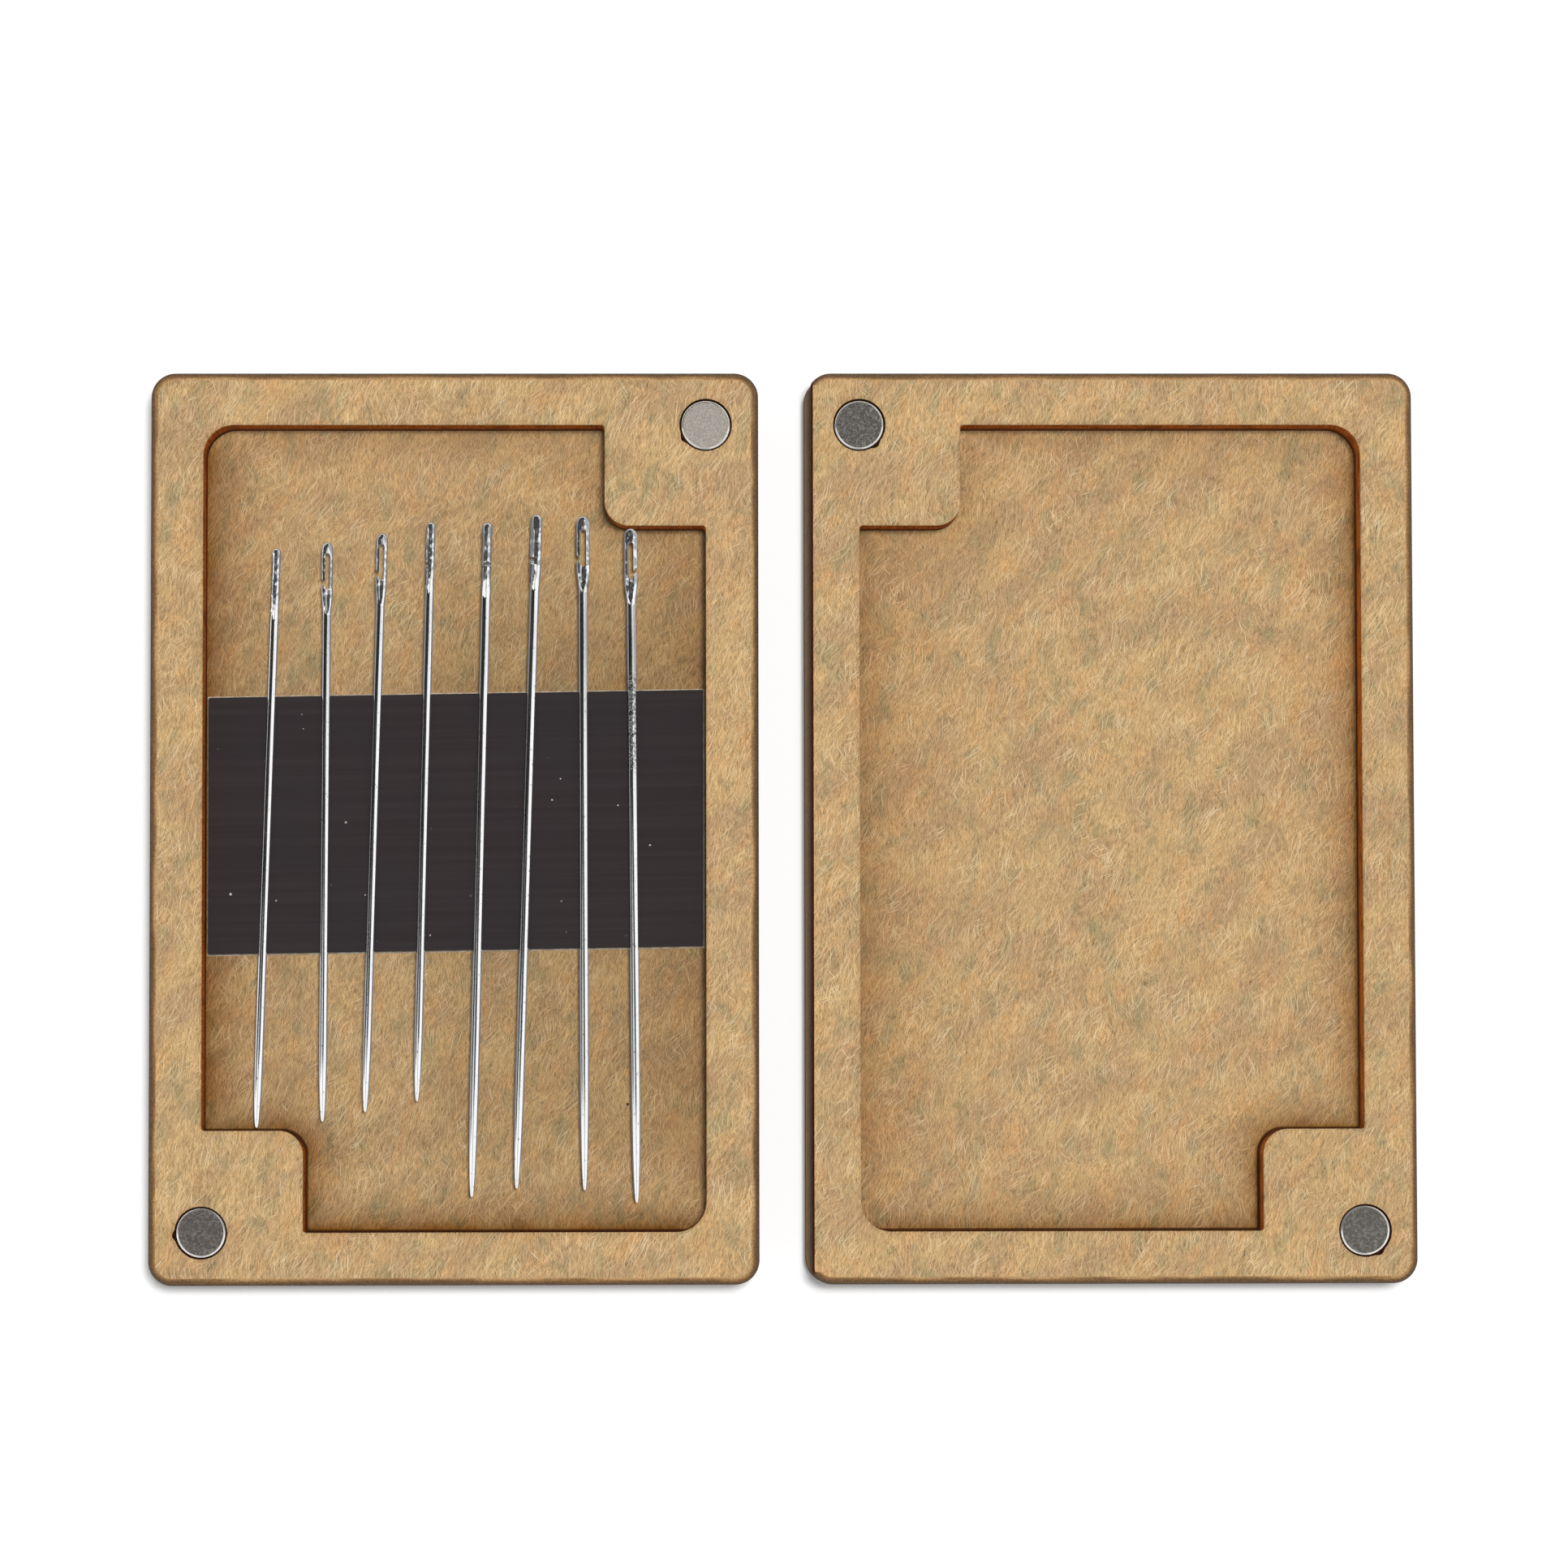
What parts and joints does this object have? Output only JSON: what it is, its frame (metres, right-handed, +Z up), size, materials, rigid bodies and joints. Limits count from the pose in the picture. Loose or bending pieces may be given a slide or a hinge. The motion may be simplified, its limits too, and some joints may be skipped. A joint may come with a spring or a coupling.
{
  "type": "magnetic needle case",
  "caption": "Flat fibreboard case in two halves closed by corner magnets, with a magnetic strip in its stepped recess that holds hand sewing needles.",
  "frame": {"origin": "on the table midway between the base and the lid as they lie open side by side, at the bottom centre of their box", "axes": "+X from the base to the lid, +Y along the needles towards their eyes, +Z up out of the recesses"},
  "size_m": [0.1248, 0.09, 0.008],
  "materials": {
    "fibreboard": "matt sanded fibreboard with fine pale fibres and laser-browned cut edges",
    "nickel": "dull speckled nickel plate with a bright chamfer",
    "magnetic_rubber": "smooth satin black magnetic rubber with a little dust",
    "adhesive_film": "thin pale adhesive film",
    "needle_steel": "mirror-polished nickel-plated steel"
  },
  "bodies": {
    "base": {"base_back_panel": "fibreboard", "base_frame": "fibreboard", "base_magnet_upper": "nickel", "base_magnet_lower": "nickel", "strip_adhesive": "adhesive_film", "magnetic_strip": "magnetic_rubber"},
    "lid": {"lid_back_panel": "fibreboard", "lid_frame": "fibreboard", "lid_magnet_upper": "nickel", "lid_magnet_lower": "nickel"},
    "needle_1": {"needle_1": "needle_steel"},
    "needle_2": {"needle_2": "needle_steel"},
    "needle_3": {"needle_3": "needle_steel"},
    "needle_4": {"needle_4": "needle_steel"},
    "needle_5": {"needle_5": "needle_steel"},
    "needle_6": {"needle_6": "needle_steel"},
    "needle_7": {"needle_7": "needle_steel"},
    "needle_8": {"needle_8": "needle_steel"}
  },
  "joints": [
    {"name": "lid_close", "type": "hinge", "parent": "base", "child": "lid", "pos_m": [0, 0, 0.00802], "axis": [0, 1, 0], "range_deg": [-180, 0]},
    {"name": "needle_1_lift", "type": "slide", "parent": "base", "child": "needle_1", "axis": [0, 0, 1], "range_m": [0, 0.03]},
    {"name": "needle_2_lift", "type": "slide", "parent": "base", "child": "needle_2", "axis": [0, 0, 1], "range_m": [0, 0.03]},
    {"name": "needle_3_lift", "type": "slide", "parent": "base", "child": "needle_3", "axis": [0, 0, 1], "range_m": [0, 0.03]},
    {"name": "needle_4_lift", "type": "slide", "parent": "base", "child": "needle_4", "axis": [0, 0, 1], "range_m": [0, 0.03]},
    {"name": "needle_5_lift", "type": "slide", "parent": "base", "child": "needle_5", "axis": [0, 0, 1], "range_m": [0, 0.03]},
    {"name": "needle_6_lift", "type": "slide", "parent": "base", "child": "needle_6", "axis": [0, 0, 1], "range_m": [0, 0.03]},
    {"name": "needle_7_lift", "type": "slide", "parent": "base", "child": "needle_7", "axis": [0, 0, 1], "range_m": [0, 0.03]},
    {"name": "needle_8_lift", "type": "slide", "parent": "base", "child": "needle_8", "axis": [0, 0, 1], "range_m": [0, 0.03]}
  ]
}
